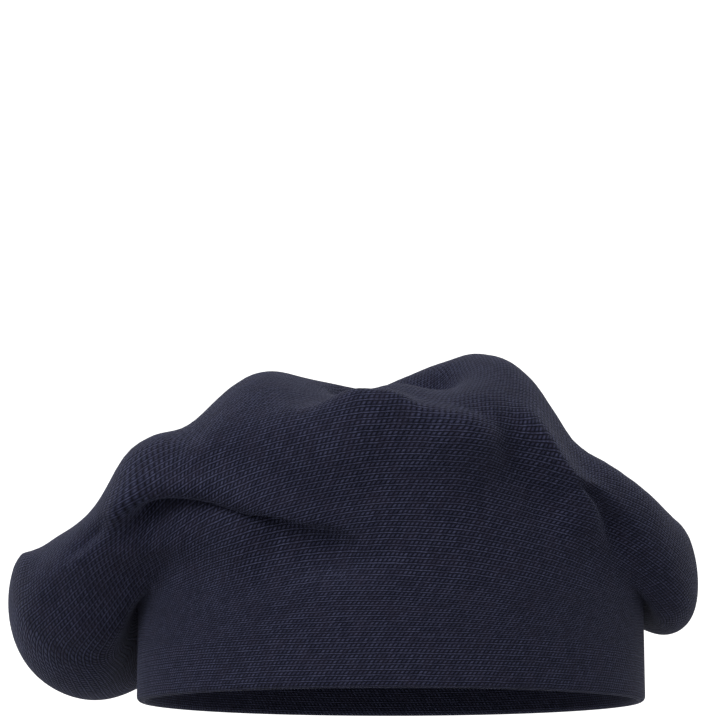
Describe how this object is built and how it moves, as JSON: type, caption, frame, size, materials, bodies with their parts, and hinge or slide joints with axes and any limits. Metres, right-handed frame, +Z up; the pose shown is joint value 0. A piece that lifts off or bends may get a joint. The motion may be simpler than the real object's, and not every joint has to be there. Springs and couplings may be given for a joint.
{
  "type": "knitted beret",
  "caption": "Slouchy knitted beret in its worn shape: a folded bag with two roof humps and a hanging lobe at the nape, on an upright doubled oval brim.",
  "frame": {"origin": "centre of the head opening, in the plane of the brim's folded edge", "axes": "+X towards the wearer's forehead, +Y towards the wearer's left, +Z up"},
  "size_m": [0.2707, 0.2058, 0.1333],
  "materials": {
    "knit": "fine flat-knit cotton blend, navy, matt and slightly fuzzy",
    "elastic": "woven elastic tape, off-white",
    "thread": "sewing thread, dark navy",
    "yarn": "knitting yarn, navy",
    "label": "woven label cloth, off-white, blank"
  },
  "bodies": {
    "beret": {"crown_knit": "knit", "brim_facing": "knit", "seam_ridge": "knit", "brim_elastic": "elastic", "hem_stitches": "thread", "seam_stitches": "thread", "gather_cord": "yarn", "gather_knot": "yarn", "label_strip": "label", "label_stitches": "thread"},
    "label": {"label_flap": "label"}
  },
  "joints": [
    {"name": "label_fold", "type": "hinge", "parent": "beret", "child": "label", "pos_m": [-0.09246, 0, 0.02835], "axis": [0, -1, 0], "range_deg": [0, 120]}
  ]
}
